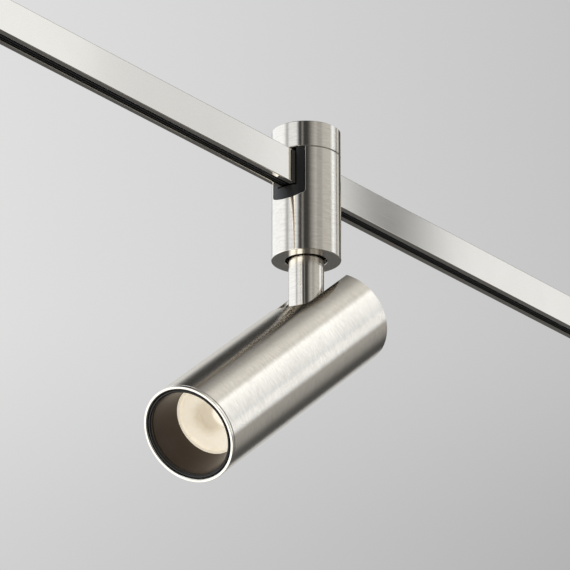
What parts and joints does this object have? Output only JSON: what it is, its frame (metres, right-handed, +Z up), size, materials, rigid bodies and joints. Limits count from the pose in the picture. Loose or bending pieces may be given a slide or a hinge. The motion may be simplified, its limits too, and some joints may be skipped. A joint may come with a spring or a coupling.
{
  "type": "track lighting fixture",
  "caption": "Cylindrical spotlight on a swivel stem, hung from a slim rail by a clamping adapter; it slides along the rail, pans and tilts.",
  "frame": {"origin": "on the adapter's vertical axis, level with the rail's top face", "axes": "+X along the rail, away from the lamp's mouth; +Z up; +Y the left of the rail seen along +X"},
  "size_m": [0.6, 0.0553, 0.2031],
  "materials": {
    "brushed_nickel": "satin brushed nickel plating, fine lines round the turned pieces",
    "black_plastic": "moulded satin black",
    "track_insulation": "extruded dark grey",
    "black_anodised": "satin black",
    "dark_baffle": "smooth satin dark brown-black",
    "copper": "bare copper strip",
    "steel": "plain zinc-plated steel",
    "bare_aluminium": "machined",
    "circuit_board": "green solder mask",
    "lead_insulation": "silicone lead",
    "lens_optic": "moulded optic with fine facets, lit warm white",
    "led_phosphor": "yellow phosphor"
  },
  "bodies": {
    "track": {"track_rail": "brushed_nickel", "track_insulator": "track_insulation", "track_conductor_left": "copper", "track_conductor_right": "copper"},
    "clamp": {"clamp_pad": "black_plastic"},
    "swivel": {"stem": "brushed_nickel", "stem_collar": "steel", "lamp_lead_left": "lead_insulation", "lamp_lead_right": "lead_insulation"},
    "head": {"head_housing": "brushed_nickel", "front_bezel": "brushed_nickel", "retaining_ring": "black_anodised", "snoot": "dark_baffle", "lens": "lens_optic", "lens_holder": "black_plastic", "led_chip": "led_phosphor", "led_board": "bare_aluminium", "heat_sink": "bare_aluminium", "hinge_bracket": "black_anodised", "tilt_washer_left": "steel", "tilt_washer_right": "steel", "pivot_pin": "steel", "pivot_nut": "steel", "bracket_screw_left": "steel", "bracket_screw_right": "steel", "rear_cover": "black_anodised", "housing_grub_screw": "steel"},
    "adapter": {"adapter_body": "brushed_nickel", "adapter_cap": "brushed_nickel", "adapter_insert": "black_plastic", "swivel_washer_lower": "black_plastic", "swivel_washer_upper": "black_plastic", "driver_choke": "black_plastic", "contact_blade_left": "copper", "contact_blade_right": "copper", "clamp_spring": "steel", "cap_screw_left": "steel", "cap_screw_right": "steel", "driver_capacitor": "steel", "swivel_retainer": "steel", "swivel_stop": "steel", "driver_board": "circuit_board", "supply_lead_left": "lead_insulation", "supply_lead_right": "lead_insulation"}
  },
  "joints": [
    {"name": "adapter_slide", "type": "slide", "parent": "track", "child": "adapter", "axis": [1, 0, 0], "range_m": [-0.27, 0.27]},
    {"name": "pad_press", "type": "slide", "parent": "adapter", "child": "clamp", "axis": [0, 0, 1], "range_m": [0, 0.001], "stiffness_N_per_m": 1500, "springref_m": -0.002, "deforming": ["clamp_spring"]},
    {"name": "head_pan", "type": "hinge", "parent": "adapter", "child": "swivel", "pos_m": [0, 0, -0.047], "axis": [0, 0, 1], "range_deg": [-170, 170]},
    {"name": "head_tilt", "type": "hinge", "parent": "swivel", "child": "head", "pos_m": [0, 0, -0.09832], "axis": [-0.0523, -0.9986, 0], "range_deg": [-38, 52]}
  ]
}
